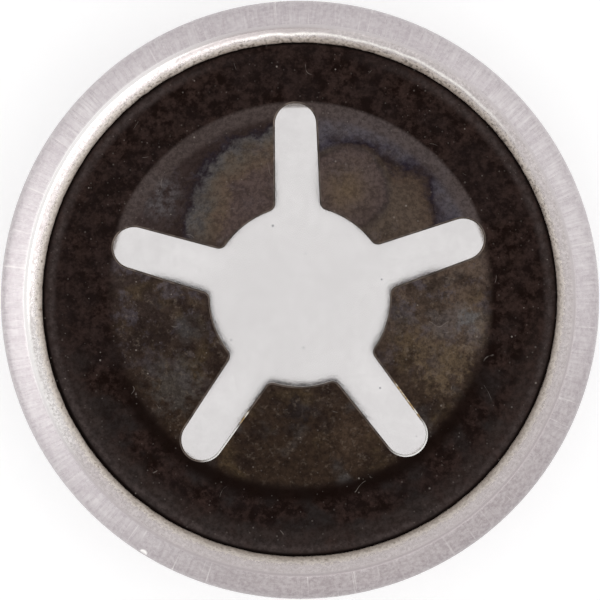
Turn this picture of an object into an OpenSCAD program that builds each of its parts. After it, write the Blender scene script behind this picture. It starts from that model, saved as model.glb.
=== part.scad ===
// Capped push-on retaining washer for the end of a plain shaft.
// A hat-shaped drawn steel cap holds a dished spring-steel star washer: the cap's
// brim is hemmed inwards over the washer's edge. The open side faces up, and the
// cap stands on its flat crown. The shaft goes in along -Z, between the tines.
// Both pieces are sheet metal, so each one is a section turned about Z.

/* [Shaft] */
// Diameter of the plain shaft that the tines grip
shaft_d = 3; // [2.5:0.1:3.6]
// How far a tine's tip reaches inside the shaft's surface before it is spread
tip_bite = 0.05; // [0.02:0.01:0.1]

/* [Cap] */
// Outer diameter of the brim
cap_d = 9.6; // [8.8:0.1:11]
// Height from the crown to the rim
cap_h = 3.4; // [2.8:0.1:4.8]
// Thickness of the cap's sheet
cap_t = 0.34; // [0.2:0.01:0.4]
// Outer radius between the crown and the wall, less on a cap too low for it
shoulder_r = 1.9; // [0.8:0.05:2.2]
// Lean of the wall, wider towards the brim
wall_draft = 4; // [1:0.5:8]
// How far the brim stands out past the wall
brim_w = 0.68; // [0.6:0.02:0.9]
// Outer radius between the wall and the brim
brim_fillet = 0.2; // [0.1:0.02:0.3]
// Inner radius of the hem round the washer's edge
hem_r = 0.08; // [0.05:0.01:0.15]
// Width of the rim, from the brim's outside in to the mouth
rim_w = 0.66; // [0.55:0.01:0.85]
// Lean of the lip towards the axis, from upright
lip_lean = 40; // [30:1:50]

/* [Star washer] */
// Thickness of the washer's sheet
washer_t = 0.25; // [0.15:0.01:0.35]
// Room between the washer and the cap, on its seat and at its edge
seat_gap = 0.01; // [0.005:0.005:0.03]
// Diameter of the ridge where the tines begin
ridge_d = 6.26; // [5.4:0.02:7]
// Radius of the arched ring between the ridge and the edge
arch_r = 3.9; // [3.2:0.1:6]
// Inner radius of the bend at the ridge
bend_r = 0.15; // [0.1:0.01:0.4]
// Slope of the tines, down into the cap
tine_slope = 24; // [10:1:35]

/* [Star opening] */
// Number of tines, with one slot beside each
tine_count = 5; // [4:1:6]
// Width of a slot at its round end
slot_w = 0.66; // [0.4:0.02:0.8]
// Flare of each side of a slot, towards the tips
slot_flare = 1.3; // [0:0.1:3]
// Distance from the ridge in to the end of a slot
slot_inset = 0.02; // [0:0.01:0.3]
// Radius of the corners at a tine's tip
tip_corner = 0.14; // [0.05:0.01:0.2]
// Turn of the washer in the cap, from a slot on +Y
star_turn = 1.5; // [-36:0.5:36]

/* [Hidden] */
$fn = 96;
// Largest turn between two points of an arc
arc_step = 7;

cap_r = cap_d / 2;
mouth_r = cap_r - rim_w;
ridge_r = ridge_d / 2;
grip_r = shaft_d / 2 - tip_bite;

// The hem turns about hem_c, and the lip runs straight on from it to the rim
hem_out_r = hem_r + cap_t;
hem_x = cap_r - hem_out_r;
lip_l = (hem_x + hem_r * cos(lip_lean) - mouth_r) / sin(lip_lean);
hem_z = cap_h - hem_out_r * sin(lip_lean) - lip_l * cos(lip_lean);
hem_c = [hem_x, hem_z];

// The washer's arch and its seat in the brim share the centre arch_c
seat_r = arch_r + washer_t + seat_gap;
brim_r = seat_r + cap_t;
brim_end = asin((hem_x - ridge_r) / (seat_r - hem_r));
arch_c = [ridge_r, hem_z + (seat_r - hem_r) * cos(brim_end)];

// The washer's edge stops where the hem begins to turn, or short of the lip's inner face
lip_c = hem_c + hem_r * polar(lip_lean);
arch_to_lip = (arch_c - lip_c) * polar(lip_lean);
edge_tilt = min(brim_end, lip_lean - asin((arch_to_lip + seat_gap) / arch_r));

// The wall runs from the fillet under the brim, about fillet_c, down to the shoulder
fillet_reach = brim_r + brim_fillet;
fillet_x = cap_r - brim_w + brim_fillet * cos(wall_draft);
brim_start = asin((fillet_x - ridge_r) / fillet_reach);
fillet_c = arch_c + fillet_reach * polar(brim_start - 90);
wall_top = fillet_c - brim_fillet * polar(-wall_draft);
crown_r = min(shoulder_r, 0.95 * wall_top.y / (1 - sin(wall_draft)));
foot_z = crown_r * (1 - sin(wall_draft));
foot_x = wall_top.x - (wall_top.y - foot_z) * tan(wall_draft);
shoulder_c = [foot_x - crown_r * cos(wall_draft), crown_r];

// The tines bend down about ridge_c, and the star opening cuts them off at the tips
ridge_out_r = bend_r + washer_t;
ridge_c = arch_c - [0, arch_r + ridge_out_r];
tine_l = (ridge_r - grip_r / 2) / cos(tine_slope);

// A slot's side is a straight line, slot_side away from the star's centre
slot_end_r = slot_w / 2;
slot_c = ridge_r - slot_inset - slot_end_r;
slot_side = slot_end_r + slot_c * sin(slot_flare);

function polar(angle) = [cos(angle), sin(angle)];

// Points along an arc, both ends included
function arc(c, r, from, to) =
    let (steps = max(2, ceil(abs(to - from) / arc_step)))
    [for (i = [0:steps]) c + r * polar(from + (to - from) * i / steps)];

// All points but the first, for an arc that goes on from another
function rest(points) = [for (i = [1:len(points) - 1]) points[i]];

function reverse(points) = [for (i = [len(points) - 1:-1:0]) points[i]];

// One side of the cap's sheet, depth in from its outer face, from the crown's centre to the rim
function cap_side(depth) = concat(
    [[0, depth]],
    arc(shoulder_c, crown_r - depth, -90, -wall_draft),
    arc(fillet_c, brim_fillet + depth, 180 - wall_draft, 90 + brim_start),
    rest(arc(arch_c, brim_r - depth, brim_start - 90, brim_end - 90)),
    rest(arc(hem_c, hem_out_r - depth, brim_end - 90, lip_lean)),
    [hem_c + (hem_out_r - depth) * polar(lip_lean) + lip_l * polar(90 + lip_lean)]
);

// One side of the washer's sheet, depth in from its open side, from the edge to past the tips
function washer_side(depth) = concat(
    arc(arch_c, arch_r + depth, edge_tilt - 90, -90),
    rest(arc(ridge_c, ridge_out_r - depth, 90, 90 + tine_slope)),
    [ridge_c + (ridge_out_r - depth) * polar(90 + tine_slope) + tine_l * polar(180 + tine_slope)]
);

module turned_sheet(side, other_side) {
    rotate_extrude() polygon(concat(side, reverse(other_side)));
}

// A slot along +Y: a round end, and sides that flare towards the star's centre
module slot() {
    end = slot_end_r * polar(slot_flare);
    half_w = slot_side / cos(slot_flare);
    translate([0, slot_c]) circle(slot_end_r);
    polygon([[-half_w, 0], [half_w, 0], [end.x, slot_c + end.y], [-end.x, slot_c + end.y]]);
}

// What rounds the corner between a slot's right side and the tip circle
module corner_relief() {
    across = slot_side + tip_corner;
    along = sqrt(pow(grip_r + tip_corner, 2) - pow(across, 2));
    c = across * polar(slot_flare) + along * polar(90 + slot_flare);
    on_side = c - tip_corner * polar(slot_flare);
    on_circle = c * grip_r / (grip_r + tip_corner);
    difference() {
        polygon([[0, grip_r / 2], on_circle, c, on_side, [0, on_side.y]]);
        translate(c) circle(tip_corner);
    }
}

module star_outline() {
    circle(grip_r);
    for (i = [0:tine_count - 1]) rotate(star_turn + i * 360 / tine_count) {
        slot();
        corner_relief();
        mirror([1, 0]) corner_relief();
    }
}

// Drawn steel cap: crown, wall, brim, hem and lip are one sheet
module cap() {
    color([0.77, 0.74, 0.74]) turned_sheet(cap_side(0), cap_side(cap_t));
}

// Dark spring-steel washer: an arched ring with tines that slope down to the shaft
module star_washer() {
    color([0.2, 0.17, 0.16]) difference() {
        turned_sheet(washer_side(washer_t), washer_side(0));
        linear_extrude(cap_h) star_outline();
    }
}

cap();
star_washer();
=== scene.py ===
# %% [markdown]
# # A capped push-on retaining washer
# This small part is pushed over the end of a plain 3 mm shaft and never comes off again. It has two
# pieces. A hat-shaped cap, drawn from bright steel sheet, holds a dark star washer of spring steel:
# the cap's brim is folded over the washer's edge. The shaft goes in between the five tines, which
# bite into it. We look into the open side, and through the star we see the inside of the crown.
#
# The CAD model comes first. It stays hidden behind our two pieces, and gives them their places and
# sizes.

# %% Load the CAD model
import math

import bmesh
import bpy
from mathutils import Matrix, Quaternion, Vector, noise


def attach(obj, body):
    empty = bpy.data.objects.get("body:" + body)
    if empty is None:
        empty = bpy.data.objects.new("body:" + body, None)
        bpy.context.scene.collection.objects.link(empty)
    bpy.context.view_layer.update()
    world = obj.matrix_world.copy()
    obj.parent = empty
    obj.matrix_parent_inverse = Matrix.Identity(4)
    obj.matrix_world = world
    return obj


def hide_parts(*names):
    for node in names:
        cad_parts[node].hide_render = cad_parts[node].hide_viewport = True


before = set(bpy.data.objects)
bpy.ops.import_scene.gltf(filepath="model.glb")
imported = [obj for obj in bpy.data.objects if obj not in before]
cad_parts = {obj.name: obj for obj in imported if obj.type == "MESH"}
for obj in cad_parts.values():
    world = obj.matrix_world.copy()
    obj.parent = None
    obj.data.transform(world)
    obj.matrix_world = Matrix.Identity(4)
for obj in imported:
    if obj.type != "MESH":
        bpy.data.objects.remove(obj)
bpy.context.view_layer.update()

# %% [markdown]
# Sheet-metal pieces are easiest to describe by their section: one slice from the axis to the rim.
# X is the distance from the axis and Z is the height. We work in millimetres, because Blender's
# mesh tools are happiest with sizes near 1, and scale to metres at the very end.

# %% Directions in the section
MM = 0.001
ORIGIN = Vector((0, 0, 0))
UP = Vector((0, 0, 1))


def toward(degrees):
    """A step of 1 mm in the section: 0 points out from the axis, 90 points up."""
    turn = math.radians(degrees)
    return Vector((math.cos(turn), 0, math.sin(turn)))


print("40 degrees up is", tuple(toward(40)))

# %% [markdown]
# The cap is one sheet with four bends: the shoulder round the crown, the fillet under the brim, the
# shallow seat for the washer, and the hem. After the hem the lip leans in over the washer. The
# numbers repeat those of the CAD source, since the lip, the hem and the seat depend on each other.

# %% Sizes of the cap
rim_r = 4.8
cap_h = 3.4
cap_sheet = 0.34
mouth_r = 4.14
lip_lean = 40
hem_r = 0.08
brim_fillet = 0.2
brim_w = 0.68
draft = 4
shoulder_r = 1.9

ridge_r = 3.13
arch_r = 3.9
washer_sheet = 0.25
seat_gap = 0.01

lean = toward(lip_lean)
hem_out_r = hem_r + cap_sheet
hem_x = rim_r - hem_out_r
lip_l = (hem_x + hem_r * lean.x - mouth_r) / lean.z
hem_c = Vector((hem_x, 0, cap_h - hem_out_r * lean.z - lip_l * lean.x))

seat_r = arch_r + washer_sheet + seat_gap
brim_r = seat_r + cap_sheet
brim_end = math.degrees(math.asin((hem_x - ridge_r) / (seat_r - hem_r)))
arch_c = Vector((ridge_r, 0, hem_c.z)) + (seat_r - hem_r) * toward(brim_end).x * toward(90)

fillet_reach = brim_r + brim_fillet
fillet_x = rim_r - brim_w + brim_fillet * toward(draft).x
brim_start = math.degrees(math.asin((fillet_x - ridge_r) / fillet_reach))
fillet_c = arch_c + fillet_reach * toward(brim_start - 90)
wall_top = fillet_c - brim_fillet * toward(-draft)
foot_z = shoulder_r * (1 - toward(draft).z)
foot_x = wall_top.x - (wall_top.z - foot_z) * math.tan(math.radians(draft))
shoulder_c = Vector((foot_x - shoulder_r * toward(draft).x, 0, shoulder_r))
crest = hem_c + hem_out_r * lean + lip_l * toward(90 + lip_lean)
print(f"crown flat to {shoulder_c.x:.3f} mm, hem at {hem_c.z:.3f} mm, crest at {crest.z:.3f} mm")

# %% [markdown]
# A bend in sheet metal is an arc about a centre, and a flat is a straight line. So we draw sections
# with a small pen: a straight extrudes the last vertex, and a bend spins it about the bend's centre.
# The pen can draw in any plane, because it only needs the axis that its bends turn about.

# %% A pen for sections
SECTION_TURN = Vector((0, -1, 0))
SAME_PLACE = 1e-6


class Pen:
    """Draws a chain of edges in a bmesh, from one vertex."""

    def __init__(self, bm, start, turn_axis):
        self.bm = bm
        self.turn_axis = turn_axis
        self.tip = bmesh.ops.create_vert(bm, co=start)["vert"][0]
        self.chain = [self.tip]

    def straight(self, end, steps):
        start = self.tip.co.copy()
        if (end - start).length < SAME_PLACE:
            return
        for step in range(steps):
            grown = bmesh.ops.extrude_vert_indiv(self.bm, verts=[self.tip])
            self.tip = grown["verts"][0]
            self.tip.co = start.lerp(end, (step + 1) / steps)
            self.chain.append(self.tip)

    def bend(self, centre, degrees, steps):
        for _ in range(steps):
            turned = bmesh.ops.spin(
                self.bm, geom=[self.tip], cent=centre, axis=self.turn_axis,
                angle=math.radians(degrees / steps), steps=1,
            )
            self.tip = next(item for item in turned["geom_last"] if isinstance(item, bmesh.types.BMVert))
            self.chain.append(self.tip)

    def geometry(self):
        drawn = set(self.chain)
        edges = [edge for vert in self.chain for edge in vert.link_edges if set(edge.verts) <= drawn]
        return self.chain + list(dict.fromkeys(edges))


print("pen ready")

# %% [markdown]
# The real cap is blanked, drawn and trimmed in a press, then folded over the washer. Three finishes
# come from that: the skin that slid along the die, the sheared edge of the rim, and the inside.
# We draw one stroke for each, so that each can have its own material, and turn it about the axis.
# The sheared edge has a polished part, where the tool cut, and a rough part, where the sheet tore and
# rolled over towards the mouth. There it runs on into a small burr.

# %% Draw the cap's section
crest_round = 0.04
polished_w = 0.225
torn_turn = 12
burr_h = 0.025
flat_steps = 5
edge_steps = 6
inside_steps = 4

# Each bend: its centre, its outside radius, the change of radius with depth, its angles and its steps
cap_bends = [
    (shoulder_c, shoulder_r, -1, -90, -draft, 18),
    (fillet_c, brim_fillet, 1, 180 - draft, 90 + brim_start, 9),
    (arch_c, brim_r, -1, brim_start - 90, brim_end - 90, 2),
    (hem_c, hem_out_r, -1, brim_end - 90, lip_lean, 22),
]
inward = -lean
up_the_lip = toward(90 + lip_lean)


def draw_skin(bm):
    pen = Pen(bm, ORIGIN, SECTION_TURN)
    for centre, radius, _, start, end, steps in cap_bends:
        pen.straight(centre + radius * toward(start), flat_steps)
        pen.bend(centre, end - start, steps)
    pen.straight(crest - crest_round * up_the_lip, edge_steps)
    return pen


def draw_sheared_edge(bm, start):
    pen = Pen(bm, start, SECTION_TURN)
    pen.bend(crest - crest_round * (lean + up_the_lip), 90, edge_steps)
    pen.straight(crest + polished_w * inward, edge_steps)
    torn_r = (cap_sheet + burr_h - polished_w) / toward(torn_turn).z
    pen.bend(crest + polished_w * inward - torn_r * up_the_lip, torn_turn, edge_steps)
    return pen


def draw_inside(bm, start):
    pen = Pen(bm, start, SECTION_TURN)
    for centre, radius, grows, begin, end, steps in reversed(cap_bends):
        pen.straight(centre + (radius + grows * cap_sheet) * toward(end), inside_steps)
        pen.bend(centre, begin - end, max(2, steps // 2))
    pen.straight(cap_sheet * UP, flat_steps)
    return pen


cap_bm = bmesh.new()
skin_pen = draw_skin(cap_bm)
edge_pen = draw_sheared_edge(cap_bm, skin_pen.tip.co)
inside_pen = draw_inside(cap_bm, edge_pen.tip.co)
print("vertices in the cap's strokes:", [len(pen.chain) for pen in (skin_pen, edge_pen, inside_pen)])

# %% [markdown]
# Each stroke is spun by one twelfth of a turn, painted with its finish, and the wedge is then copied
# round the axis. A full spin in one go gives the same ring, but takes far longer, because every step
# works on all the faces made so far. Where wedges and strokes meet, doubles are merged.

# %% Turn the cap
WEDGES = 12
WEDGE_STEPS = 40
WELD_REACH = 1e-4
SKIN, SHEARED_EDGE, INSIDE = range(3)


def everything(bm):
    return bm.verts[:] + bm.edges[:] + bm.faces[:]


def spin_round(bm, geometry, turn, steps, copies=False):
    """Spins geometry about the part's axis, as a surface or as separate copies."""
    bmesh.ops.spin(
        bm, geom=geometry, cent=ORIGIN, axis=UP, angle=turn, steps=steps, use_duplicate=copies
    )


def turn_wedge(bm, pen, finish):
    """Spins a stroke by one wedge and gives the new faces a material number."""
    before = set(bm.faces)
    spin_round(bm, pen.geometry(), math.tau / WEDGES, WEDGE_STEPS)
    for face in set(bm.faces) - before:
        face.material_index = finish


def copy_round(bm, count):
    """Copies all of a wedge round the axis until it closes."""
    spin_round(bm, everything(bm), math.tau * (count - 1) / count, count - 1, copies=True)


def weld(bm):
    """Merges doubles, then makes the faces point outwards."""
    bmesh.ops.remove_doubles(bm, verts=bm.verts, dist=WELD_REACH)
    bmesh.ops.recalc_face_normals(bm, faces=bm.faces)


turn_wedge(cap_bm, skin_pen, SKIN)
turn_wedge(cap_bm, edge_pen, SHEARED_EDGE)
turn_wedge(cap_bm, inside_pen, INSIDE)
copy_round(cap_bm, WEDGES)
weld(cap_bm)
print("cap:", len(cap_bm.faces), "faces, open edges:", sum(edge.is_boundary for edge in cap_bm.edges))

# %% [markdown]
# Along the torn part of the edge the metal broke unevenly, so those vertices are nudged by a little
# noise, which mathutils gives the same in every run. The trimming tool drew the burr out longer on
# one side, and a mask by direction repeats that. Later the rim was knocked once: the vertices round
# one point of the hem are pushed inwards, less and less with their distance from it.

# %% Tear and knock the rim
torn_depth = 0.008
lumps_per_mm = 9
grains_per_mm = 31
cut_margin = 0.01
cut_reach = 0.06
low_side = Vector((0.34, -0.94, 0))
lobe_l = 0.03
lobe_gain = 1.3

nick_turn = 238.2
nick_lift = 22
nick_reach = 0.1
nick_depth = 0.03


def flat(degrees):
    """A step of 1 mm in a level plane: 0 points along X, 90 points along Y."""
    turn = math.radians(degrees)
    return Vector((math.cos(turn), math.sin(turn), 0))


def from_axis_to(point):
    """The level direction from the axis to a point."""
    return Vector((point.x, point.y, 0)).normalized()


def swing(step, around):
    """A step of the section, swung round to a direction from the axis."""
    return step.x * around + step.z * UP


def roughen_torn_edge(bm):
    """Moves the torn part of the edge by a little noise, and draws its burr out on the low side."""
    cut_w = cap_sheet + burr_h
    moved = 0
    for vert in bm.verts:
        inside_crest = crest.x - math.hypot(vert.co.x, vert.co.y)
        down = crest.z - vert.co.z
        along_cut = inside_crest * lean.x + down * lean.z
        off_cut = inside_crest * lean.z - down * lean.x
        past_polish = polished_w + cut_margin < along_cut < cut_w + cut_margin
        if past_polish and abs(off_cut) < cut_reach:
            around = from_axis_to(vert.co)
            lumps = noise.noise(vert.co * lumps_per_mm)
            grains = noise.noise(vert.co * grains_per_mm)
            push = torn_depth * (lumps + 0.5 * grains)
            vert.co *= 1 + push / vert.co.length
            share = min(1, (along_cut - polished_w) / (cut_w - polished_w))
            lobe = min(1, max(0, lobe_gain * around.dot(low_side)))
            vert.co += lobe_l * share * lobe * swing(inward, around)
            moved += 1
    return moved


def knock_rim(bm, centre):
    """Dents the rim inwards round one point."""
    dented = [vert for vert in bm.verts if (vert.co - centre).length < nick_reach]
    for vert in dented:
        fall = 1 - (vert.co - centre).length / nick_reach
        vert.co -= from_axis_to(vert.co) * nick_depth * fall
    return len(dented)


torn_count = roughen_torn_edge(cap_bm)
nick_c = swing(hem_c + hem_out_r * toward(nick_lift), flat(nick_turn))
nicked_count = knock_rim(cap_bm, nick_c)
print("torn edge:", torn_count, "vertices moved; nick:", nicked_count)

# %% [markdown]
# Every piece ends in the same way: it is scaled from millimetres to metres, becomes an object at the
# origin, is shaded smooth, and rides on the part's one body. Weighted normals keep the flats flat
# where they meet a small bend.

# %% Make an object from a mesh
FLAT_WEIGHT = 80


def finish_piece(bm, name, node, materials):
    """Turns a bmesh in mm into a piece that stands for a CAD node."""
    bmesh.ops.scale(bm, vec=(MM, MM, MM), verts=bm.verts)
    mesh = bpy.data.meshes.new(name)
    bm.to_mesh(mesh)
    bm.free()
    mesh.shade_smooth()
    for material in materials:
        mesh.materials.append(material)
    piece = bpy.data.objects.new(name, mesh)
    bpy.context.scene.collection.objects.link(piece)
    weighted = piece.modifiers.new("even_shading", "WEIGHTED_NORMAL")
    weighted.weight = FLAT_WEIGHT
    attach(piece, "root")
    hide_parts(node)
    triangles = sum(len(face.vertices) - 2 for face in mesh.polygons)
    print(f"{name}: {triangles} triangles, {len(materials)} finishes")


print("the cap waits for its finishes")

# %% [markdown]
# The star washer is punched from flat strip and then pressed into its dish, so we make it that way
# too. One side of a slot is drawn flat, from a tine's tip to the slot's end: the small corner at the
# tip, the straight side that flares a little, and the round end. It is drawn twice, once on the cut
# and once a little way inside the metal, and a narrow strip bridges the two. The strip gives a later
# bevel room all along the cut.

# %% Draw one side of a slot
tine_count = 5
star_turn = 1.5
grip_r = 1.45
tip_corner = 0.14
slot_end_r = 0.33
slot_inset = 0.02
slot_flare = 1.3
strip_w = 0.05
corner_steps = 8
side_steps = 22
end_steps = 12

sector = 360 / tine_count
edge_r = ridge_r + arch_r * toward(brim_end).z
slot_end_y = ridge_r - slot_inset - slot_end_r
slot_side = slot_end_r + slot_end_y * toward(slot_flare).z


def draw_slot_side(bm, margin):
    """Draws a slot's right side at a margin from the cut, as far as the slot's end."""
    across = slot_side + tip_corner
    along = math.sqrt((grip_r + tip_corner) ** 2 - across**2)
    corner_c = across * flat(slot_flare) + along * flat(90 + slot_flare)
    from_tip = math.degrees(math.atan2(-corner_c.y, -corner_c.x)) % 360
    slot_end_c = Vector((0, slot_end_y, 0))
    pen = Pen(bm, corner_c * (grip_r + margin) / (grip_r + tip_corner), UP)
    pen.bend(corner_c, 180 + slot_flare - from_tip, corner_steps)
    pen.straight(slot_end_c + (slot_end_r + margin) * flat(slot_flare), side_steps)
    pen.bend(slot_end_c, 90 - slot_flare, end_steps)
    return pen


washer_bm = bmesh.new()
cut_pen = draw_slot_side(washer_bm, 0)
slot_pen = draw_slot_side(washer_bm, strip_w)
bmesh.ops.bridge_loops(washer_bm, edges=washer_bm.edges[:])
bmesh.ops.mirror(
    washer_bm, geom=everything(washer_bm), matrix=Matrix.Identity(4), merge_dist=WELD_REACH, axis="X"
)
print("strip along a slot:", len(washer_bm.faces), "faces")

# %% [markdown]
# From the slot's end the inner line runs on to the washer's edge. Spinning that line by one fifth of
# a turn gives one tine, but its far side is a copy and not a mirror image. So each row is squeezed
# until the far side mirrors the near one. Five copies make the blank, and smoothing the vertices
# away from the outline evens out the grid. The punch met this blank a hair off its middle, so the
# opening is moved, and the shift fades out towards the edge.

# %% Punch the flat blank
TINE_COLUMNS = 44
RING_ROWS = 18
SMOOTHINGS = 40
TURN_SLACK = 0.01
punch_offset = 0.045


def clockwise(point):
    """The turn from +Y to a point, clockwise from above."""
    return math.atan2(point.x, point.y)


def squeeze_rows(verts, side_chain):
    """Turns each row's points back, so that the two sides of the tine mirror each other."""
    half_turns = {round(vert.co.length, 4): clockwise(vert.co) for vert in side_chain}
    rows = sorted(half_turns)
    for vert in verts:
        row = min(rows, key=lambda radius: abs(radius - vert.co.length))
        swept = (clockwise(vert.co) - half_turns[row] + TURN_SLACK) % math.tau - TURN_SLACK
        share = swept / math.radians(sector)
        vert.co.rotate(Matrix.Rotation(2 * half_turns[row] * share, 3, "Z"))


def away_from_outline(bm):
    """The vertices that share no face with the outline."""
    outline = [vert for vert in bm.verts if vert.is_boundary]
    beside = {vert for rim_vert in outline for face in rim_vert.link_faces for vert in face.verts}
    return [vert for vert in bm.verts if vert not in beside]


slot_pen.straight(Vector((0, edge_r, 0)), RING_ROWS)
slot_pen.chain.insert(0, cut_pen.chain[0])
strip_verts = set(washer_bm.verts)
spin_round(washer_bm, slot_pen.geometry(), -math.radians(sector), TINE_COLUMNS)
squeeze_rows(set(washer_bm.verts) - strip_verts, slot_pen.chain)
copy_round(washer_bm, tine_count)
weld(washer_bm)
inner_verts = away_from_outline(washer_bm)
for _ in range(SMOOTHINGS):
    bmesh.ops.smooth_vert(washer_bm, verts=inner_verts, factor=0.5, use_axis_x=True, use_axis_y=True)
bmesh.ops.rotate(
    washer_bm, cent=ORIGIN, matrix=Matrix.Rotation(math.radians(star_turn), 3, "Z"), verts=washer_bm.verts
)
for vert in washer_bm.verts:
    from_edge = (edge_r - vert.co.length) / (edge_r - ridge_r)
    vert.co.y += punch_offset * min(1, from_edge)
outline_size = sum(vert.is_boundary for vert in washer_bm.verts)
print("blank:", len(washer_bm.faces), "faces,", outline_size, "vertices on its outline")

# %% [markdown]
# The press only changes heights. The ring between the ridge and the edge becomes a shallow arch, a
# tight bend follows at the ridge, and the tines run straight down to their tips. The top and the
# underside of the sheet have the same centres but other radii. The blank is extruded first, which
# gives the walls of the star opening, and then each side is pressed to its own height.

# %% Press the washer
tine_slope = 24
bend_in_r = 0.15
bend_out_r = bend_in_r + washer_sheet
bend_c = arch_c - (arch_r + bend_out_r) * UP


def pressed_height(radius, ring_r, bend_r):
    """The height of one side of the sheet, at a distance from the axis."""
    if radius >= ridge_r:
        return arch_c.z - math.sqrt(ring_r**2 - (radius - ridge_r) ** 2)
    bend_foot = bend_c + bend_r * toward(90 + tine_slope)
    if radius >= bend_foot.x:
        return bend_c.z + math.sqrt(bend_r**2 - (ridge_r - radius) ** 2)
    return bend_foot.z - (bend_foot.x - radius) * math.tan(math.radians(tine_slope))


def press(verts, ring_r, bend_r):
    """Presses one side of the sheet; a ring with another radius is stretched to match."""
    for vert in verts:
        radius = math.hypot(vert.co.x, vert.co.y)
        if radius > ridge_r:
            stretch = (ridge_r + (radius - ridge_r) * ring_r / arch_r) / radius
            vert.co.x *= stretch
            vert.co.y *= stretch
            radius *= stretch
        vert.co.z = pressed_height(radius, ring_r, bend_r)


extruded = bmesh.ops.extrude_face_region(washer_bm, geom=washer_bm.faces[:])["geom"]
open_side = {item for item in extruded if isinstance(item, bmesh.types.BMVert)}
underside = set(washer_bm.verts) - open_side
press(open_side, arch_r, bend_out_r)
press(underside, arch_r + washer_sheet, bend_in_r)
bmesh.ops.recalc_face_normals(washer_bm, faces=washer_bm.faces)
heights = [vert.co.z for vert in washer_bm.verts]
print(f"washer from {min(heights):.3f} to {max(heights):.3f} mm")

# %% [markdown]
# A punch rolls the sheet's edge over before it cuts, so no edge of the washer is quite sharp. The
# walls of the star opening were cut after the strip was blackened, and show bare steel, and the
# rolled edge has lost most of its black: both get their own material. A bevel with three segments
# rounds every sharp edge, and hands back the faces that it made.

# %% Round the punched edges
BLACKENED, CUT_WALL, ROLLED_EDGE = range(3)
punch_round = 0.03
upright_below = 0.4
sharp_above = math.radians(50)

for face in washer_bm.faces:
    upright = abs(face.normal.z) < upright_below
    face.material_index = CUT_WALL if upright else BLACKENED
sharp_edges = [edge for edge in washer_bm.edges if edge.calc_face_angle(0) > sharp_above]
rounded = bmesh.ops.bevel(
    washer_bm, geom=sharp_edges, offset=punch_round, offset_type="OFFSET", affect="EDGES",
    segments=3, profile=0.5, material=-1, clamp_overlap=True,
)
for face in rounded["faces"]:
    face.material_index = ROLLED_EDGE
weld(washer_bm)
print("washer:", len(washer_bm.faces), "faces,", len(sharp_edges), "edges rounded")

# %% [markdown]
# Materials come next, and they share a small kit. A finish is a tree of nodes, and writing one node
# at a time takes many lines, so a few helpers place a node, feed its sockets and hand back its
# output. A mask is a number from 0 to 1 that says how much of an effect shows at a place.

# %% A kit for shader nodes
NUMBER_RESULTS = ("LENGTH", "DOT_PRODUCT")


def place(tree, kind, inputs=None, **settings):
    """Adds a node, with its settings, and feeds its sockets with values or other sockets."""
    node = tree.nodes.new("ShaderNode" + kind)
    for name, value in settings.items():
        setattr(node, name, value)
    for key, value in (inputs or {}).items():
        if isinstance(value, bpy.types.NodeSocket):
            tree.links.new(value, node.inputs[key])
        else:
            node.inputs[key].default_value = value
    return node


def calc(tree, operation, *values):
    """One step of arithmetic on numbers or sockets."""
    return place(tree, "Math", dict(enumerate(values)), operation=operation).outputs[0]


def vector_calc(tree, operation, *values):
    """One step of arithmetic on vectors; a scale goes in the socket named Scale."""
    inputs = dict(enumerate(values))
    if operation == "SCALE":
        inputs = {0: values[0], "Scale": values[1]}
    node = place(tree, "VectorMath", inputs, operation=operation)
    return node.outputs["Value" if operation in NUMBER_RESULTS else "Vector"]


def step_up(tree, value, low, high):
    """A mask that rises softly from 0 at low to 1 at high, or falls if low is the larger."""
    inputs = {"Value": value, "From Min": low, "From Max": high}
    return place(tree, "MapRange", inputs, interpolation_type="SMOOTHSTEP").outputs["Result"]


def spread(tree, mask, low, high):
    """A mask from 0 to 1 as a number from low to high."""
    inputs = {"Value": mask, "To Min": low, "To Max": high}
    return place(tree, "MapRange", inputs).outputs["Result"]


def inverse(tree, mask):
    """The mask of all the rest."""
    return spread(tree, mask, 1.0, 0.0)


def both(tree, first, *others):
    """Where all the masks meet: their product."""
    for other in others:
        first = calc(tree, "MULTIPLY", first, other)
    return first


def either(tree, first, *others):
    """Where any of the masks shows: the largest of them."""
    for other in others:
        first = calc(tree, "MAXIMUM", first, other)
    return first


def band(tree, value, low, high, soft):
    """A mask that is 1 between low and high, with soft sides."""
    rise = step_up(tree, value, low - soft, low + soft)
    fall = step_up(tree, value, high + soft, high - soft)
    return both(tree, rise, fall)


def mixed_number(tree, share, first, second):
    """Two numbers mixed by a mask: sockets 2 and 3 are the number pair of the Mix node."""
    return place(tree, "Mix", {0: share, 2: first, 3: second}).outputs[0]


print("shader kit ready")

# %% [markdown]
# Colours are written as the 0 to 255 values that a picture shows, and turned to linear light. Most
# finishes start from two tones, and then marks of other colours lie over them like thin layers of
# paint. Each layer has a mask, the most that it may cover, and a colour.

# %% Colours in layers
def picture_colour(red, green, blue):
    """A colour in picture values as linear light, with an alpha of 1."""
    shares = [value / 255 for value in (red, green, blue)]
    linear = [share / 12.92 if share < 0.04045 else ((share + 0.055) / 1.055) ** 2.4 for share in shares]
    return (*linear, 1)


def mixed(tree, share, first, second):
    """Two colours mixed by a mask: sockets 6 and 7 are the colour pair of the Mix node."""
    return place(tree, "Mix", {0: share, 6: first, 7: second}, data_type="RGBA").outputs[2]


def two_tone(tree, mask, first, second):
    """Two picture colours mixed by a mask."""
    return mixed(tree, mask, picture_colour(*first), picture_colour(*second))


def layered(tree, base, layers):
    """Lays picture colours over a base, in order, as (mask, cover, colour) layers."""
    for mask, cover, colour in layers:
        base = mixed(tree, spread(tree, mask, 0.0, cover), base, picture_colour(*colour))
    return base


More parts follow.
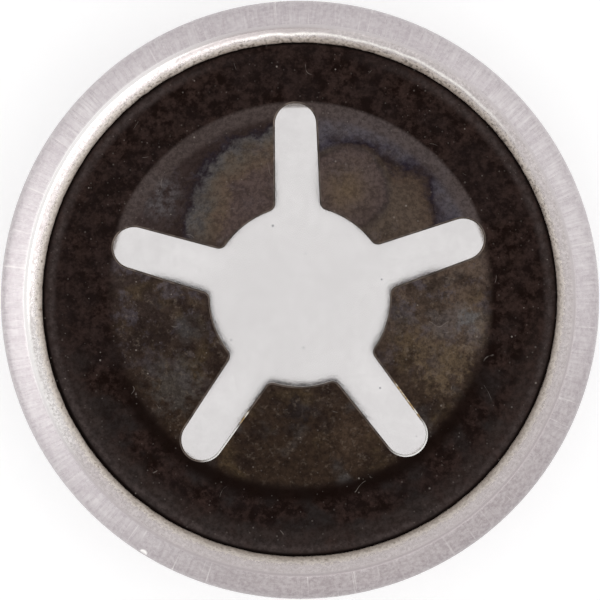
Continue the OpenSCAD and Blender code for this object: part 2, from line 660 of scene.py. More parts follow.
def ramp(tree, value, stops):
    """Colours along a number, as (position, colour) stops."""
    node = place(tree, "ValToRGB", {"Fac": value})
    elements = node.color_ramp.elements
    while len(elements) < len(stops):
        elements.new(0.5)
    for element, (position, colour) in zip(elements, stops):
        element.position = position
        element.color = picture_colour(*colour)
    return node.outputs["Color"]


print("middle grey in linear light:", picture_colour(128, 128, 128))

# %% [markdown]
# Marks on a turned piece follow its axis: draw lines run out from it, and shear lines run round it.
# So the first group turns Object coordinates into a distance from the axis, a height, and a
# direction round it, all in millimetres. A group is built once and used by every finish.

# %% Group: place on the part
def new_group(name, inputs, outputs):
    """An empty node group with number inputs (name: value) and outputs (name: type)."""
    group = bpy.data.node_groups.new(name, "ShaderNodeTree")
    for label, value in inputs.items():
        socket = group.interface.new_socket(label, in_out="INPUT", socket_type="NodeSocketFloat")
        socket.default_value = value
    for label, kind in outputs.items():
        group.interface.new_socket(label, in_out="OUTPUT", socket_type="NodeSocket" + kind)
    return group, group.nodes.new("NodeGroupInput").outputs, group.nodes.new("NodeGroupOutput").inputs


def use(tree, group, **values):
    """Places a group in a finish, and returns its outputs."""
    node = place(tree, "Group", node_tree=group)
    for name, value in values.items():
        node.inputs[name].default_value = value
    return node.outputs


part_place, _, ends = new_group(
    "place_on_part", {}, {"Place": "Vector", "Radius": "Float", "Height": "Float", "Around": "Vector"}
)
object_metres = place(part_place, "TexCoord").outputs["Object"]
object_mm = vector_calc(part_place, "SCALE", object_metres, 1 / MM)
from_axis = vector_calc(part_place, "MULTIPLY", object_mm, (1, 1, 0))
measures = {
    "Place": object_mm,
    "Radius": vector_calc(part_place, "LENGTH", from_axis),
    "Height": place(part_place, "SeparateXYZ", {0: object_mm}).outputs["Z"],
    "Around": vector_calc(part_place, "NORMALIZE", from_axis),
}
for label, measure in measures.items():
    part_place.links.new(measure, ends[label])
print("group:", part_place.name, list(measures))

# %% [markdown]
# Draw lines are fine streaks that run the way the sheet slid through the die: straight out over the
# lip and straight up the wall. Noise that is read mostly by the direction round the axis, and only
# slowly along the sheet, gives them, with no seam where the turn closes.

# %% Group: draw lines
draw_lines, starts, ends = new_group(
    "draw_lines", {"Count": 60.0, "Along": 1.0, "Low": 0.3, "High": 0.7}, {"Mask": "Float"}
)
here = use(draw_lines, part_place)
out_and_up = calc(draw_lines, "ADD", here["Radius"], here["Height"])
along = calc(draw_lines, "MULTIPLY", out_and_up, starts["Along"])
round_part = vector_calc(draw_lines, "SCALE", here["Around"], starts["Count"])
lift = place(draw_lines, "CombineXYZ", {"Z": along}).outputs[0]
streak_place = vector_calc(draw_lines, "ADD", round_part, lift)
streaks = place(draw_lines, "TexNoise", {
    "Vector": streak_place, "Scale": 1.0, "Detail": 3.0, "Roughness": 0.6,
})
streak_mask = step_up(draw_lines, streaks.outputs["Fac"], starts["Low"], starts["High"])
draw_lines.links.new(streak_mask, ends["Mask"])
print("group:", draw_lines.name)

# %% [markdown]
# Grain is plain noise at a chosen number of bumps per millimetre. Pits, mottling and stains are the
# same group with other scales and limits. A shift reads the noise at another place, so that two
# grains with the same scale don't lie on top of each other.

# %% Group: grain
grain, starts, ends = new_group(
    "grain", {"Per_mm": 20.0, "Detail": 2.0, "Rough": 0.5, "Low": 0.35, "High": 0.65, "Shift": 0.0},
    {"Mask": "Float"},
)
here = use(grain, part_place)
sideways = place(grain, "CombineXYZ", {"X": starts["Shift"]}).outputs[0]
bumps = place(grain, "TexNoise", {
    "Vector": vector_calc(grain, "ADD", here["Place"], sideways),
    "Scale": starts["Per_mm"], "Detail": starts["Detail"], "Roughness": starts["Rough"],
})
grain.links.new(step_up(grain, bumps.outputs["Fac"], starts["Low"], starts["High"]), ends["Mask"])
print("group:", grain.name)

# %% [markdown]
# Dust lies on the dark washer as pale specks. Voronoi cells scatter points evenly; a random colour
# per cell picks a few of them and gives each its own size. Lint is thin and curved, so it is a
# contour line of slow noise, kept only in a few patches.

# %% Group: dust and lint
dust, starts, ends = new_group("dust", {"Per_mm": 5.0, "Size": 0.1, "Share": 0.3}, {"Mask": "Float"})
here = use(dust, part_place)
cells = place(
    dust, "TexVoronoi", {"Vector": here["Place"], "Scale": starts["Per_mm"]}, voronoi_dimensions="2D"
)
draws = place(dust, "SeparateColor", {0: cells.outputs["Color"]}).outputs
picked = calc(dust, "LESS_THAN", draws[0], starts["Share"])
own_size = calc(dust, "MULTIPLY", spread(dust, draws[1], 0.35, 1), starts["Size"])
speck = step_up(dust, cells.outputs["Distance"], own_size, calc(dust, "MULTIPLY", own_size, 0.4))
own_tone = spread(dust, draws[2], 0.25, 1)
dust.links.new(both(dust, speck, picked, own_tone), ends["Mask"])

lint, starts, ends = new_group("lint", {"Per_mm": 1.6, "Width": 0.006}, {"Mask": "Float"})
here = use(lint, part_place)
slow = place(lint, "TexNoise", {"Vector": here["Place"], "Scale": starts["Per_mm"], "Detail": 1.0})
off_line = calc(lint, "ABSOLUTE", calc(lint, "SUBTRACT", slow.outputs["Fac"], 0.5))
thread = step_up(lint, off_line, starts["Width"], 0.0)
patches = use(lint, grain, Per_mm=3.1, Low=0.62, High=0.68, Shift=40.0)["Mask"]
lint.links.new(both(lint, thread, patches), ends["Mask"])
print("groups:", dust.name, lint.name)

# %% [markdown]
# A finish starts as a Principled shader. Sockets that stay the same all over get a plain value, and
# the rest are fed by masks and layers. Some marks sit on one side of the part, and a mask compares
# the direction round the axis with the direction of that side. Others are spots seen from above.

# %% Start a finish
def new_finish(name, **constants):
    """A material with its Principled shader, whose constant sockets are set directly."""
    material = bpy.data.materials.new(name)
    material.use_nodes = True
    shader = material.node_tree.nodes["Principled BSDF"]
    for label, value in constants.items():
        shader.inputs[label.replace("_", " ")].default_value = value
    return material, material.node_tree, shader.inputs


def feed(tree, sockets, **values):
    """Links results to the shader's sockets."""
    for label, value in values.items():
        tree.links.new(value, sockets[label.replace("_", " ")])


def add_bump(tree, sockets, height, depth_mm):
    """A bump of a real depth; the Bump node measures in metres."""
    bump = place(tree, "Bump", {"Height": height, "Distance": depth_mm * MM, "Strength": 1.0})
    feed(tree, sockets, Normal=bump.outputs["Normal"])


def side_mask(tree, around, side, low, high):
    """A soft mask on one side of the part: 0 below the low share, 1 above the high one."""
    return step_up(tree, vector_calc(tree, "DOT_PRODUCT", around, side), low, high)


def spot_share(tree, place_mm, centre, radius):
    """The distance from a spot seen from above, as a share of its radius."""
    offset = vector_calc(tree, "SUBTRACT", place_mm, centre)
    level = vector_calc(tree, "MULTIPLY", offset, (1, 1, 0))
    return calc(tree, "DIVIDE", vector_calc(tree, "LENGTH", level), radius)


def spot(tree, place_mm, centre, radius, core=0.6):
    """A round mask that is full inside its core and fades out at its radius."""
    return step_up(tree, spot_share(tree, place_mm, centre, radius), 1.0, core)


print("ready to start a finish")

# %% [markdown]
# The skin of the cap is bare drawn steel: dull silver with a touch of pink. It is a metal, so its
# colour is what it reflects. The die streaked the lip and the wall, and the crown still shows the
# straight lines of the rolled strip. The streaks change colour, roughness and a very fine bump
# together, as real scratches do. Cloudy stains keep it from looking new. On the lip, painted shade
# makes it darker on the lower side, greyer at the top and round its outside, and a painted highlight
# makes it bright along the crest on the side of the light. It is brightest in the small nick on the hem.

# %% Finish: drawn steel skin
# Sides of the lip for painted shade and a painted highlight
low_shade_side = (0.4, -0.92, 0)
top_side = (0, 1, 0)
crest_light_side = (-0.91, 0.42, 0)
strip_stretch = (0.8, 18, 1)

skin_finish, tree, sockets = new_finish("drawn_skin", Metallic=1.0)
here = use(tree, part_place)
height = here["Height"]
around = here["Around"]
on_crown = step_up(tree, height, 0.12, 0.01)
off_crown = inverse(tree, on_crown)
on_lip = step_up(tree, height, 2.5, 2.9)
on_wall = calc(tree, "SUBTRACT", off_crown, on_lip)
at_crest = step_up(tree, height, 3.33, 3.38)
on_outside = step_up(tree, here["Radius"], 4.58, 4.76)

along_strip = vector_calc(tree, "MULTIPLY", here["Place"], strip_stretch)
strip = place(tree, "TexNoise", {"Vector": along_strip, "Scale": 1.0, "Detail": 4.0}).outputs["Fac"]
die_lines = use(tree, draw_lines, Count=110.0, Along=11.0, Low=0.32, High=0.68)["Mask"]
lines = mixed_number(tree, on_crown, die_lines, step_up(tree, strip, 0.3, 0.7))
wall_lines = use(tree, draw_lines, Count=120.0, Along=0.6)["Mask"]
between_lines = both(tree, on_wall, inverse(tree, wall_lines))
strokes = use(tree, draw_lines, Count=90.0, Along=3.5, Low=0.6, High=0.76)["Mask"]
clouds = use(tree, grain, Per_mm=2.4, Detail=7.0, Rough=0.7, Low=0.32, High=0.68)["Mask"]
speckle = use(tree, grain, Per_mm=13.0, Detail=5.0, Rough=0.75, Low=0.34, High=0.66)["Mask"]

painted_low_shade = both(tree, on_lip, side_mask(tree, around, low_shade_side, 0.2, 1.0))
painted_lip_top_shade = both(tree, on_lip, side_mask(tree, around, top_side, 0.75, 1.0))
painted_crest_highlight = both(tree, at_crest, side_mask(tree, around, crest_light_side, 0.6, 0.95))
nick_heights = band(tree, height, nick_c.z - 0.05, nick_c.z + 0.1, 0.05)
nick = both(tree, spot(tree, here["Place"], nick_c, 0.075), nick_heights)

steel = layered(tree, two_tone(tree, lines, (181, 173, 176), (212, 206, 207)), [
    (clouds, 0.75, (182, 173, 177)),
    # painted shade on the lower side of the lip, less at the crest
    (both(tree, painted_low_shade, spread(tree, at_crest, 0.85, 0.72)), 1.0, (140, 130, 131)),
    # painted shade at the top of the lip
    (painted_lip_top_shade, 0.4, (150, 140, 144)),
    # painted shade round the lip's outside
    (on_outside, 0.32, (140, 130, 135)),
    (between_lines, 0.6, (168, 161, 163)),
    (both(tree, speckle, spread(tree, on_lip, 0.08, 0.3)), 1.0, (220, 215, 214)),
    (both(tree, strokes, off_crown), 0.5, (230, 226, 223)),
    # painted highlight along the crest on the side of the light
    (painted_crest_highlight, 0.5, (250, 247, 246)),
    (nick, 1.0, (244, 241, 239)),
])
feed(tree, sockets, Base_Color=steel, Roughness=spread(tree, lines, 0.25, 0.32))
add_bump(tree, sockets, calc(tree, "ADD", lines, speckle), 0.0006)
print("finish:", skin_finish.name, len(tree.nodes), "nodes")

# %% [markdown]
# The sheared edge is read by the distance from the crest, measured along the cut. Its first part was
# burnished by the tool and is nearly smooth, with fine lines across it and a crumbly grain. A painted
# highlight brightens it on one side, and painted shade dims it in two other places and on the lower
# side. The rolled crest has a painted highlight on the side of the light and painted shade on the lower
# side.

# %% Finish: burnished part of the sheared edge
# Sides of the edge for painted highlights and painted shade
painted_highlight_side = (-0.978, -0.208, 0)
shade_left_side = (-0.98, 0.2, 0)
shade_top_side = (-0.208, 0.978, 0)
light_side = (-0.94, 0.34, 0)

edge_finish, tree, sockets = new_finish("sheared_edge")
here = use(tree, part_place)
around = here["Around"]
out_part = calc(tree, "MULTIPLY", here["Radius"], lean.x)
up_part = calc(tree, "MULTIPLY", here["Height"], lean.z)
from_crest = calc(tree, "SUBTRACT", crest.dot(lean), calc(tree, "ADD", out_part, up_part))
wander = use(tree, grain, Per_mm=2.5, Detail=3.0, Low=0.2, High=0.8)["Mask"]
wavy = calc(tree, "ADD", from_crest, spread(tree, wander, -0.02, 0.02))
rolled = step_up(tree, from_crest, 0.05, 0.01)

lines = use(tree, draw_lines, Count=110.0, Along=6.0)["Mask"]
clouds = use(tree, grain, Per_mm=3.0, Detail=5.0, Rough=0.65, Low=0.35, High=0.65)["Mask"]
crumbs = use(tree, grain, Per_mm=20.0, Detail=3.0, Rough=0.7, Low=0.3, High=0.7, Shift=5.0)["Mask"]
painted_highlight = side_mask(tree, around, painted_highlight_side, 0.9, 0.985)
painted_shade_left = side_mask(tree, around, shade_left_side, 0.93, 0.99)
painted_edge_top_shade = side_mask(tree, around, shade_top_side, 0.92, 0.99)
painted_low_shade = side_mask(tree, around, low_shade_side, 0.0, 0.9)
painted_lit = side_mask(tree, around, light_side, 0.5, 0.95)

burnished = layered(tree, two_tone(tree, lines, (212, 203, 203), (230, 222, 221)), [
    (clouds, 0.4, (200, 190, 191)),
    # painted highlight on one side
    (painted_highlight, 0.95, (250, 246, 244)),
    # painted shade dims the highlight on the left
    (both(tree, painted_shade_left, step_up(tree, from_crest, 0.06, 0.1)), 0.5, (188, 180, 179)),
    # painted shade dims the highlight at the top
    (both(tree, painted_edge_top_shade, step_up(tree, wavy, 0.16, 0.1)), 0.8, (174, 165, 165)),
    (inverse(tree, crumbs), 0.65, (179, 172, 170)),
    # painted shade on the lower side
    (painted_low_shade, 0.4, (184, 175, 175)),
    # painted highlight near the crest on the side of the light
    (both(tree, painted_lit, step_up(tree, from_crest, 0.1, 0.06)), 0.85, (252, 249, 247)),
])
# The rolled crest: a painted highlight on the side of the light, painted shade on the lower side
crest_steel = two_tone(tree, painted_lit, (208, 201, 202), (250, 247, 246))
crest_steel = layered(tree, crest_steel, [(painted_low_shade, 1.0, (184, 175, 176))])
burnished = mixed(tree, spread(tree, rolled, 0.0, 0.9), burnished, crest_steel)
print("burnished part:", len(tree.nodes), "nodes so far")

# %% [markdown]
# The rest of the edge tore, so it is dull, beige and pitted, with dark chips and a thin dark line of
# burr at the mouth. It carries painted shade on the lower side. One side is stained, and there a
# painted highlight, a bright line, runs where the cut broke into the tear. Torn steel scatters light
# almost like stone, so the metal share is low on it.

# %% Finish: torn part of the sheared edge
stained_side = (0.3, 0.95, 0)

ragged = calc(tree, "ADD", wavy, spread(tree, crumbs, -0.04, 0.04))
torn = step_up(tree, ragged, polished_w - 0.05, polished_w + 0.06)
pits = use(tree, grain, Per_mm=17.0, Detail=3.0, Low=0.24, High=0.46)["Mask"]
chips = use(tree, grain, Per_mm=19.0, Detail=3.0, Low=0.5, High=0.64, Shift=2.0)["Mask"]
chipped = side_mask(tree, around, stained_side, 0.2, 0.7)
painted_highlight_line = both(
    tree, band(tree, wavy, 0.145, 0.195, 0.02), spread(tree, crumbs, 0.6, 1.0),
    side_mask(tree, around, stained_side, 0.75, 0.97),
)
torn_steel = layered(tree, two_tone(tree, pits, (156, 141, 128), (246, 236, 227)), [
    (inverse(tree, crumbs), 0.45, (168, 153, 140)),
    # painted shade on the lower side
    (painted_low_shade, 0.55, (200, 190, 182)),
    (step_up(tree, ragged, 0.25, 0.36), 0.65, (120, 105, 92)),
    (side_mask(tree, around, stained_side, 0.4, 1.0), 0.4, (128, 112, 101)),
    (both(tree, chips, spread(tree, chipped, 0.2, 0.6)), 1.0, (52, 42, 35)),
])
sheared = mixed(tree, torn, burnished, torn_steel)
# painted highlight: a bright line where the cut broke into the tear
sheared = layered(tree, sheared, [(painted_highlight_line, 1.0, (252, 248, 243))])
smooth_part = calc(tree, "ADD", spread(tree, crumbs, 0.26, 0.17), spread(tree, rolled, 0.0, 0.3))
roughness = mixed_number(tree, torn, smooth_part, spread(tree, pits, 0.5, 0.36))
feed(tree, sockets, Base_Color=sheared, Roughness=roughness, Metallic=spread(tree, torn, 1.0, 0.1))
add_bump(tree, sockets, both(tree, torn, pits), 0.0025)
print("finish:", edge_finish.name, len(tree.nodes), "nodes")

# %% [markdown]
# The inside of the crown never touched a tool after drawing. It is the smoothest face of the part,
# a pale satin with faint clouds and a few dark specks, and it mirrors the light above. Near the axis it
# is a little darker, a painted reflection of the lens, which the real one mirrors there. A pure mirror
# would look black from the side, so a fifth of it scatters light.

# %% Finish: inside of the cap
inside_finish, tree, sockets = new_finish("satin_inside", Metallic=0.8)
clouds = use(tree, grain, Per_mm=1.1, Detail=5.0, Low=0.3, High=0.7)["Mask"]
specks = use(tree, dust, Per_mm=1.6, Size=0.05, Share=0.4)["Mask"]
fine = use(tree, grain, Per_mm=5.0, Detail=6.0, Rough=0.7, Low=0.35, High=0.65)["Mask"]
painted_lens_reflection = step_up(tree, use(tree, part_place)["Radius"], 2.3, 0.6)
satin = layered(tree, two_tone(tree, clouds, (243, 240, 240), (253, 250, 250)), [
    # painted reflection of the lens: darker near the axis
    (painted_lens_reflection, 0.75, (231, 228, 228)),
    (inverse(tree, fine), 0.3, (228, 224, 224)),
    (specks, 0.6, (110, 112, 118)),
])
feed(tree, sockets, Base_Color=satin, Roughness=spread(tree, fine, 0.08, 0.13))
add_bump(tree, sockets, fine, 0.0003)
print("finish:", inside_finish.name, len(tree.nodes), "nodes")

# %% [markdown]
# The washer is blackened spring steel. Its ring is a mottled dark brown with cooler blotches in the
# lower half. Towards the lip a painted glow of light from the lip lightens it in the lower half, then
# a thin band of painted glow follows, and last comes painted shade in the crevice between the lip and
# the ring.

# %% Finish: blackened ring
black_finish, tree, sockets = new_finish("blackened_steel", Metallic=1.0)
here = use(tree, part_place)
radius = here["Radius"]
sides = place(tree, "SeparateXYZ", {0: here["Place"]}).outputs
fine = use(tree, grain, Per_mm=12.0, Detail=5.0, Rough=0.8, Low=0.4, High=0.6)["Mask"]
mottle = use(tree, grain, Per_mm=5.0, Detail=8.0, Rough=0.75, Low=0.42, High=0.58)["Mask"]
blotches = use(tree, grain, Per_mm=1.3, Detail=4.0, Low=0.35, High=0.65, Shift=3.7)["Mask"]
cool = use(tree, grain, Per_mm=1.9, Detail=5.0, Low=0.45, High=0.62, Shift=17.0)["Mask"]

lower_half = step_up(tree, sides["Y"], 0.6, -2.2)
painted_lip_glow_low = both(tree, band(tree, radius, 3.72, 3.95, 0.12), spread(tree, mottle, 0.7, 0.3))
painted_lip_glow = both(
    tree, band(tree, radius, 3.95, 4.06, 0.07), spread(tree, mottle, 0.9, 0.5),
    step_up(tree, sides["Y"], 4.1, 3.2),
)
crevice_start = spread(tree, lower_half, 4.075, 4.05)
painted_crevice_shade = step_up(tree, radius, crevice_start, calc(tree, "ADD", crevice_start, 0.045))
ring = layered(tree, two_tone(tree, mottle, (26, 16, 13), (58, 44, 40)), [
    (blotches, 0.4, (42, 35, 35)),
    (both(tree, cool, lower_half, spread(tree, mottle, 0.6, 1.0)), 1.0, (45, 40, 39)),
    # painted glow of light from the lip, in the lower half
    (both(tree, painted_lip_glow_low, lower_half), 1.0, (70, 60, 57)),
    # painted glow in a thin band under the lip, left out at the top
    (painted_lip_glow, 1.0, (82, 72, 70)),
    # painted shade in the crevice between the lip and the ring
    (painted_crevice_shade, 1.0, (14, 10, 9)),
])
print("ring:", len(tree.nodes), "nodes so far")

# %% [markdown]
# Heat left films of oxide on the tines. So a base colour, which is darker at the bottom tine and
# lighter towards the upper right, partly oxide and partly painted shade, is blotched by patches of
# slate, khaki and dark brown. A few larger stains have a place of their own, with ragged edges. Over
# them lie a lilac film, dark pocks and pale flecks.

# %% Finish: oxide on the tines
rightwards = step_up(tree, sides["X"], -1.6, 2.2)
upwards = step_up(tree, sides["Y"], -2.2, 0.6)
slate = use(tree, grain, Per_mm=1.5, Detail=3.0, Low=0.55, High=0.72, Shift=11.0)["Mask"]
khaki = use(tree, grain, Per_mm=1.8, Detail=3.0, Low=0.5, High=0.7, Shift=23.0)["Mask"]
dark_patch = use(tree, grain, Per_mm=2.6, Detail=6.0, Rough=0.65, Low=0.46, High=0.64, Shift=31.0)["Mask"]
lilac = use(tree, grain, Per_mm=2.6, Detail=6.0, Rough=0.7, Low=0.5, High=0.6, Shift=61.0)["Mask"]
pocks = use(tree, grain, Per_mm=7.0, Detail=6.0, Rough=0.75, Low=0.52, High=0.64, Shift=51.0)["Mask"]
flecks = use(tree, grain, Per_mm=9.0, Detail=6.0, Rough=0.75, Low=0.54, High=0.66, Shift=43.0)["Mask"]

# Each stain: its centre, its reach in mm, its cover and its colour
stains = [
    ((2.3, -1.0, 0), 0.6, 0.8, (112, 95, 76)),
    ((2.85, -0.5, 0), 0.45, 0.8, (116, 101, 88)),
    ((2.1, 0.1, 0), 0.5, 0.7, (72, 60, 52)),
    ((2.35, -0.35, 0), 0.4, 0.6, (106, 97, 94)),
    ((0.0, -1.8, 0), 0.35, 0.8, (46, 40, 40)),
    ((0.85, -2.25, 0), 0.5, 0.7, (82, 66, 54)),
    ((-2.0, -1.35, 0), 0.55, 0.8, (82, 76, 71)),
    ((-2.5, -0.6, 0), 0.5, 0.7, (44, 35, 33)),
    ((2.72, -0.33, 0), 0.22, 0.7, (114, 113, 114)),
]
stain_layers = []
for centre, reach, cover, colour in stains:
    share = spot_share(tree, here["Place"], centre, reach)
    ragged = calc(tree, "ADD", share, spread(tree, mottle, -0.3, 0.3))
    stain_layers.append((step_up(tree, ragged, 1.0, 0.2), cover, colour))

# darker at the bottom tine and lighter towards the upper right, partly painted shade
upper_tines = two_tone(tree, rightwards, (64, 53, 49), (104, 88, 77))
tine = mixed(tree, upwards, picture_colour(61, 48, 39), upper_tines)
tine = layered(tree, tine, [
    (slate, 0.7, (84, 81, 80)),
    (khaki, 0.5, (98, 82, 60)),
    (dark_patch, 0.65, (42, 32, 29)),
    *stain_layers,
    (both(tree, lilac, upwards), 0.6, (96, 89, 95)),
    (pocks, 0.5, (34, 26, 22)),
    (flecks, 0.45, (118, 105, 94)),
])
print("tines:", len(tree.nodes), "nodes so far,", len(stains), "stains")

# %% [markdown]
# The two upper tines each carry a tide mark, where a drop of quenching oil dried: a navy line round
# the drop, with slate, khaki and purple brown on its two sides. The right one has a smaller drop
# inside it. The distance from the drop's centre is made wavy by noise, and a colour ramp reads it.

# %% Tide marks on the upper tines
TIDE_REACH = 1.4
drop_c = (0.73, 1.75, 0)
drop_r = 0.7
waves = use(tree, grain, Per_mm=1.7, Detail=8.0, Rough=0.7, Low=0.2, High=0.8, Shift=7.3)["Mask"]
wavy_edge = spread(tree, waves, -0.15, 0.15)


def tide_mark(centre, radius_mm, stops):
    """Colours by the wavy distance from a dried drop; 1 is the tide line."""
    share = calc(tree, "ADD", spot_share(tree, here["Place"], centre, radius_mm), wavy_edge)
    reach = calc(tree, "DIVIDE", share, TIDE_REACH)
    return ramp(tree, reach, [(at / TIDE_REACH, colour) for at, colour in stops])


left_mark = tide_mark((-0.23, 1.19, 0), 1.59, [
    (0.0, (93, 79, 77)), (0.6, (94, 79, 75)), (0.7, (101, 85, 73)), (0.82, (96, 86, 77)),
    (0.93, (91, 87, 86)), (1.0, (42, 36, 43)), (1.08, (56, 45, 43)), (1.4, (66, 55, 53)),
])
right_mark = tide_mark((0.81, 0.95, 0), 1.55, [
    (0.0, (92, 79, 70)), (0.45, (97, 84, 74)), (0.7, (95, 81, 71)), (0.86, (86, 71, 61)),
    (0.97, (34, 28, 40)), (1.04, (70, 65, 73)), (1.14, (93, 88, 94)), (1.4, (88, 78, 78)),
])
drop_mark = tide_mark(drop_c, drop_r, [
    (0.0, (108, 91, 74)), (0.3, (104, 88, 76)), (0.6, (98, 84, 79)), (0.88, (95, 81, 78)),
    (0.98, (72, 62, 60)), (1.06, (82, 72, 66)),
])
on_drop = step_up(tree, spot_share(tree, here["Place"], drop_c, drop_r), 1.14, 0.98)
right_mark = mixed(tree, on_drop, right_mark, drop_mark)
marks = mixed(tree, step_up(tree, sides["X"], 0.1, 0.3), left_mark, right_mark)
slate_spot = spot(tree, here["Place"], (-2.25, 1.65, 0), 0.5, core=0.3)
marks = layered(tree, marks, [(both(tree, slate_spot, mottle), 1.0, (90, 84, 85))])
marked = both(tree, step_up(tree, sides["Y"], 0.75, 1.15), spread(tree, dark_patch, 0.95, 0.6))
tine = mixed(tree, marked, tine, marks)
print("tide marks:", len(tree.nodes), "nodes so far")

# %% [markdown]
# At the ridge a painted highlight makes the upper side of the bend lighter, and painted shade makes
# the lower side nearly black. Fine grain, pale dust and a few threads of lint lie over everything.

# %% Ridge, dust and lint
painted_ridge_highlight = both(tree, band(tree, radius, 2.93, 3.3, 0.07), step_up(tree, sides["Y"], -0.4, 1.6))
painted_ridge_shade = both(tree, band(tree, radius, 3.0, 3.25, 0.09), step_up(tree, sides["Y"], -0.3, -2.0))
upper_half = step_up(tree, sides["Y"], 0.1, 1.7)
tined = step_up(tree, radius, spread(tree, upper_half, 3.14, 3.21), spread(tree, upper_half, 2.9, 3.14))
grain_cover = spread(tree, both(tree, tined, upwards), 0.55, 0.48)

dusty = use(tree, dust, Per_mm=5.3, Size=0.12, Share=0.06)["Mask"]
powder = use(tree, dust, Per_mm=11.0, Size=0.22, Share=0.16)["Mask"]
linty = use(tree, lint, Per_mm=1.3, Width=0.004)["Mask"]
pale = either(
    tree, spread(tree, dusty, 0.0, 0.45), spread(tree, linty, 0.0, 0.3), spread(tree, powder, 0.0, 0.16)
)
# painted highlight on the upper side of the bend
tine = layered(tree, tine, [(painted_ridge_highlight, 0.75, (88, 77, 74))])
dark = layered(tree, mixed(tree, tined, ring, tine), [
    # painted shade on the lower side of the bend
    (painted_ridge_shade, 0.85, (22, 13, 10)),
    (both(tree, grain_cover, inverse(tree, fine)), 1.0, (24, 17, 14)),
    (pale, 1.0, (172, 162, 154)),
])
feed(tree, sockets, Base_Color=dark, Roughness=spread(tree, fine, 0.38, 0.52))
add_bump(tree, sockets, calc(tree, "ADD", fine, pale), 0.0012)
print("finish:", black_finish.name, len(tree.nodes), "nodes")

# %% [markdown]
# The cut walls of the star opening are bare and bright, with a warm cast of oil where the punch came
# through. The rolled edge above them is a worn brown, between black and bare. At two slots it is
# golden brown with white flecks, partly bare steel and partly a painted highlight, and two slot ends
# carry a painted highlight that is nearly white.

# %% Finish: cut walls and rolled edges
cut_finish, tree, sockets = new_finish("cut_wall", Metallic=1.0)
oil = use(tree, grain, Per_mm=2.2, Detail=2.0, Low=0.45, High=0.65)["Mask"]
streaks = use(tree, draw_lines, Count=70.0, Along=0.4)["Mask"]
bare = two_tone(tree, streaks, (196, 188, 180), (236, 231, 225))
bare = layered(tree, bare, [(oil, 0.6, (186, 156, 112))])
feed(tree, sockets, Base_Color=bare, Roughness=spread(tree, streaks, 0.2, 0.4))
add_bump(tree, sockets, streaks, 0.0015)

rolled_finish, tree, sockets = new_finish("rolled_edge", Metallic=0.4)
at = use(tree, part_place)["Place"]
wear = use(tree, grain, Per_mm=6.0, Detail=3.0, Low=0.3, High=0.7)["Mask"]
white_flecks = use(tree, grain, Per_mm=9.0, Detail=2.0, Low=0.4, High=0.6)["Mask"]
# bare golden steel at two slots, partly a painted highlight, and painted highlights at two slot ends
bare_and_highlight = either(tree, spot(tree, at, (1.75, -1.6, 0), 0.42), spot(tree, at, (-0.93, -1.87, 0), 0.16))
painted_slot_end_highlight = either(tree, spot(tree, at, (1.82, -2.28, 0), 0.44), spot(tree, at, (-1.27, -2.3, 0), 0.48))
worn = two_tone(tree, wear, (66, 56, 50), (112, 99, 90))
golden = two_tone(tree, white_flecks, (176, 146, 100), (248, 242, 232))
rolled_steel = mixed(tree, bare_and_highlight, worn, golden)
rolled_steel = layered(tree, rolled_steel, [(painted_slot_end_highlight, 1.0, (252, 250, 247))])
feed(tree, sockets, Base_Color=rolled_steel, Roughness=spread(tree, wear, 0.5, 0.38))
add_bump(tree, sockets, wear, 0.001)
print("finishes:", cut_finish.name, rolled_finish.name)

# %% [markdown]
# With their finishes ready, the two meshes become pieces. The order of the finishes is that of the
# material numbers, which the faces were given when they were made.

# %% Place the two pieces
finish_piece(cap_bm, "drawn_cap", "cap", [skin_finish, edge_finish, inside_finish])
finish_piece(
    washer_bm, "toothed_washer", "star_washer",
    [black_finish, cut_finish, rolled_finish],
)

# %% [markdown]
# The part stands on its crown on a plain white table. The table is white to the camera and to
# mirrors, by its Light Path, and still takes a soft shadow. It lies a hair below the crown, because
# two faces in the same plane would flicker through each other.

# %% Floor
table_w = 0.8
table_drop = 0.02
table_tone = 0.9
table_glow = 0.3

floor_bm = bmesh.new()
below_part = Matrix.Translation((0, 0, -table_drop * MM))
bmesh.ops.create_grid(floor_bm, x_segments=1, y_segments=1, size=table_w / 2, matrix=below_part)
floor_mesh = bpy.data.meshes.new("table")
floor_bm.to_mesh(floor_mesh)
floor_bm.free()
floor = bpy.data.objects.new("table", floor_mesh)
bpy.context.scene.collection.objects.link(floor)

table_finish, tree, sockets = new_finish(
    "white_table", Roughness=0.8, Specular_IOR_Level=0.1,
    Base_Color=(table_tone, table_tone, table_tone, 1), Emission_Color=(1, 1, 1, 1),
)
seen = place(tree, "LightPath").outputs
shown = either(tree, seen["Is Camera Ray"], seen["Is Glossy Ray"], seen["Is Transmission Ray"])
feed(tree, sockets, Emission_Strength=calc(tree, "MULTIPLY", shown, table_glow))
floor_mesh.materials.append(table_finish)
print("table:", table_w, "m wide")

# %% [markdown]
# A light tent surrounds the part, and a plain white world stands for it. A tent has no edges that
# could show in the crown's smooth inside. One long, low panel at the lower right draws the bright arc
# on the rim: it leans, so that the arc wanders from the crest towards the mouth. A spot lights only
# the table at the left, since the lip mirrors that patch of table and not the lamp.

# %% Light tent and lamps
tent_light = 0.92
part_middle = Vector((0, 0, 0.003))
table_patch = Vector((-0.042, 0, 0))
spot_height = 0.06

scene = bpy.context.scene
scene.view_settings.view_transform = "Standard"
scene.world = bpy.data.worlds.new("light_tent")
scene.world.use_nodes = True
background = scene.world.node_tree.nodes["Background"]
background.inputs["Color"].default_value = (1, 1, 1, 1)
background.inputs["Strength"].default_value = tent_light


def seen_from_part(picture_turn, elevation, distance):
    """A place round the part; the turn is clockwise from the picture's right."""
    rise = toward(elevation)
    return distance * swing(rise, flat(-picture_turn))


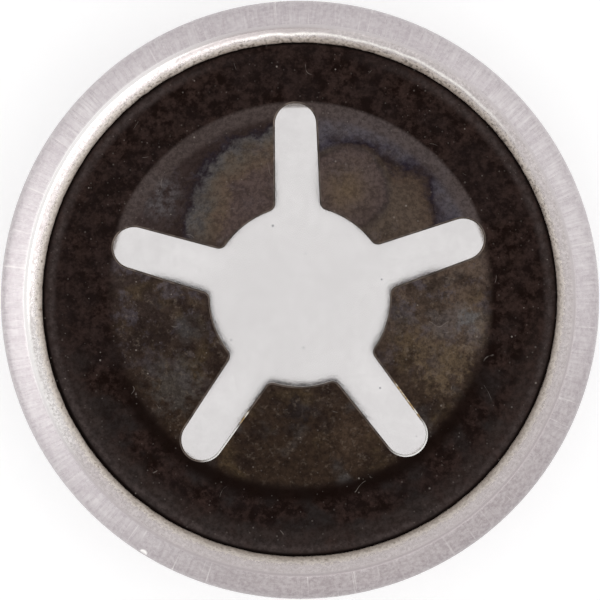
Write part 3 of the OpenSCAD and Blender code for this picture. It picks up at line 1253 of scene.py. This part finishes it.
def hang_lamp(data, stand, aim, roll=0):
    """Hangs a lamp at a place, so that it faces a point, rolled by some degrees."""
    lamp = bpy.data.objects.new(data.name, data)
    lamp.location = stand
    lamp.rotation_mode = "QUATERNION"
    facing = (stand - aim).to_track_quat("Z", "Y")
    lamp.rotation_quaternion = facing @ Quaternion(UP, math.radians(roll))
    scene.collection.objects.link(lamp)
    return lamp


def new_panel(name, width, height, brightness):
    """A soft panel; a brightness of 1 is that of white paper in the tent."""
    data = bpy.data.lights.new(name, "AREA")
    data.shape = "RECTANGLE"
    data.size = width
    data.size_y = height
    data.energy = brightness * math.pi * width * height
    return data


def new_spot(name, spread_degrees, power):
    """A round spot with a soft edge."""
    data = bpy.data.lights.new(name, "SPOT")
    data.energy = power
    data.spot_size = math.radians(spread_degrees)
    data.spot_blend = 1
    data.shadow_soft_size = 0.005
    return data


rim_panel = new_panel("rim_panel", 0.34, 0.025, 1.7)
hung_panel = hang_lamp(rim_panel, seen_from_part(48, 12.5, 0.15), part_middle, roll=8)
hung_panel.visible_camera = False
table_spot = new_spot("table_spot", 56, 0.25)
hang_lamp(table_spot, table_patch + spot_height * UP, table_patch)
print("lamps:", rim_panel.name, table_spot.name)

# %% [markdown]
# The camera looks straight down into the cap, tilted by less than a degree from the top of the
# picture. A long lens keeps the rim and the crown nearly the same size, and the rim fills the frame
# from side to side.

# %% Camera
camera_tilt = math.radians(0.8)
camera_reach = 0.25
rim_plane = 0.0029
half_frame = 0.004811

camera_data = bpy.data.cameras.new("bench_camera")
camera_data.sensor_width = 36
camera_data.lens = camera_data.sensor_width / 2 * camera_reach / half_frame
camera_data.clip_start = 0.001
camera_data.clip_end = 2
camera = bpy.data.objects.new("bench_camera", camera_data)
back = camera_reach * math.sin(camera_tilt)
rise = camera_reach * math.cos(camera_tilt)
camera.location = (0, back, rim_plane + rise)
camera.rotation_euler = (-camera_tilt, 0, 0)
scene.collection.objects.link(camera)
scene.camera = camera
print(f"lens {camera_data.lens:.0f} mm at {camera_reach} m")
